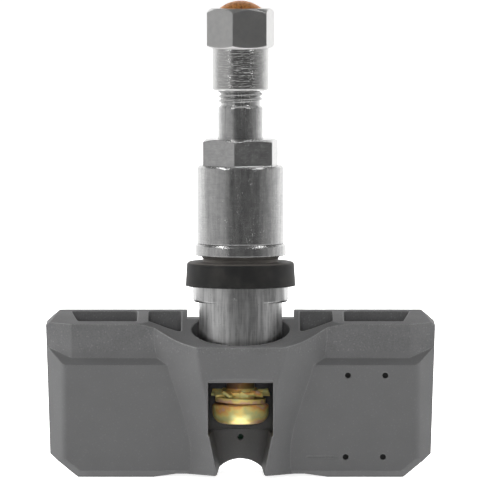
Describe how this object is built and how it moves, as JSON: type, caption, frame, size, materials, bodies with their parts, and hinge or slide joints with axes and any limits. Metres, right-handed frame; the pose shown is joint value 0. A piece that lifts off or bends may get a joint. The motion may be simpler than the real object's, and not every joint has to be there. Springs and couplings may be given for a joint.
{
  "type": "tyre pressure sensor",
  "caption": "Tyre pressure sensor: winged plastic housing with a tilting metal clamp-in valve stem, rubber grommet, long sleeve nut and screw cap.",
  "frame": {"origin": "centre of the wheel's valve hole, on the stem's axis, in the plane where the wheel's inner face meets the grommet", "axes": "+Z along the stem towards the cap, -Y out of the screw recess in the housing's front, X along the wings"},
  "size_m": [0.067, 0.0204, 0.0818],
  "materials": {
    "housing_plastic": "fine moulded texture, satin",
    "board": "green solder mask",
    "cell_steel": "brushed nickel",
    "chip_plastic": "black moulding compound",
    "ferrite": "ground ferrite",
    "copper_wire": "enamelled copper wire",
    "turned_metal": "turned, nickel finish",
    "brass": "turned brass",
    "spring_steel": "drawn wire",
    "rubber": "matt moulded rubber",
    "copper_dome": "rough copper colour",
    "yellow_zinc": "yellow zinc plating with a colour sheen"
  },
  "bodies": {
    "housing": {"sensor_housing": "housing_plastic", "rear_cover": "housing_plastic", "circuit_board": "board", "coin_cell": "cell_steel", "cell_tab_front": "cell_steel", "cell_tab_rear": "cell_steel", "radio_chip": "chip_plastic", "pressure_chip": "chip_plastic", "coil_core": "ferrite", "coil_winding": "copper_wire", "crystal": "cell_steel"},
    "stem": {"valve_stem": "turned_metal", "rim_grommet": "rubber", "core_plug": "brass", "core_barrel": "brass", "core_seal": "rubber", "core_spring": "spring_steel", "stem_screw": "yellow_zinc", "spring_washer": "yellow_zinc", "tooth_washer": "yellow_zinc"},
    "core": {"core_pin": "brass"},
    "washer": {"rim_washer": "turned_metal"},
    "nut": {"clamp_nut": "turned_metal"},
    "gasket": {"cap_gasket": "rubber"},
    "cap": {"cap_shell": "turned_metal", "cap_dome": "copper_dome"}
  },
  "joints": [
    {"name": "stem_tilt", "type": "hinge", "parent": "housing", "child": "stem", "pos_m": [0, 0, -0.0013], "axis": [1, 0, 0], "range_deg": [-5, 5]},
    {"name": "core_press", "type": "slide", "parent": "stem", "child": "core", "axis": [0, 0, -1], "range_m": [0, 0.001], "stiffness_N_per_m": 900, "springref_m": -0.0005, "deforming": ["core_spring"]},
    {"name": "washer_lift", "type": "slide", "parent": "stem", "child": "washer", "axis": [0, 0, 1], "range_m": [0, 0.008]},
    {"name": "nut_turn", "type": "hinge", "parent": "washer", "child": "nut", "pos_m": [0, 0, 0], "axis": [0, 0, 1], "range_deg": [0, 2880]},
    {"name": "gasket_lift", "type": "slide", "parent": "stem", "child": "gasket", "axis": [0, 0, 1], "range_m": [0, 0.0076]},
    {"name": "cap_turn", "type": "hinge", "parent": "gasket", "child": "cap", "pos_m": [0, 0, 0], "axis": [0, 0, 1], "range_deg": [0, 3445.84]}
  ],
  "couplings": [
    {"joint": "nut_turn", "follows": "washer_lift", "rad_per_m": 6283.2},
    {"joint": "cap_turn", "follows": "gasket_lift", "rad_per_m": 7913.3}
  ]
}
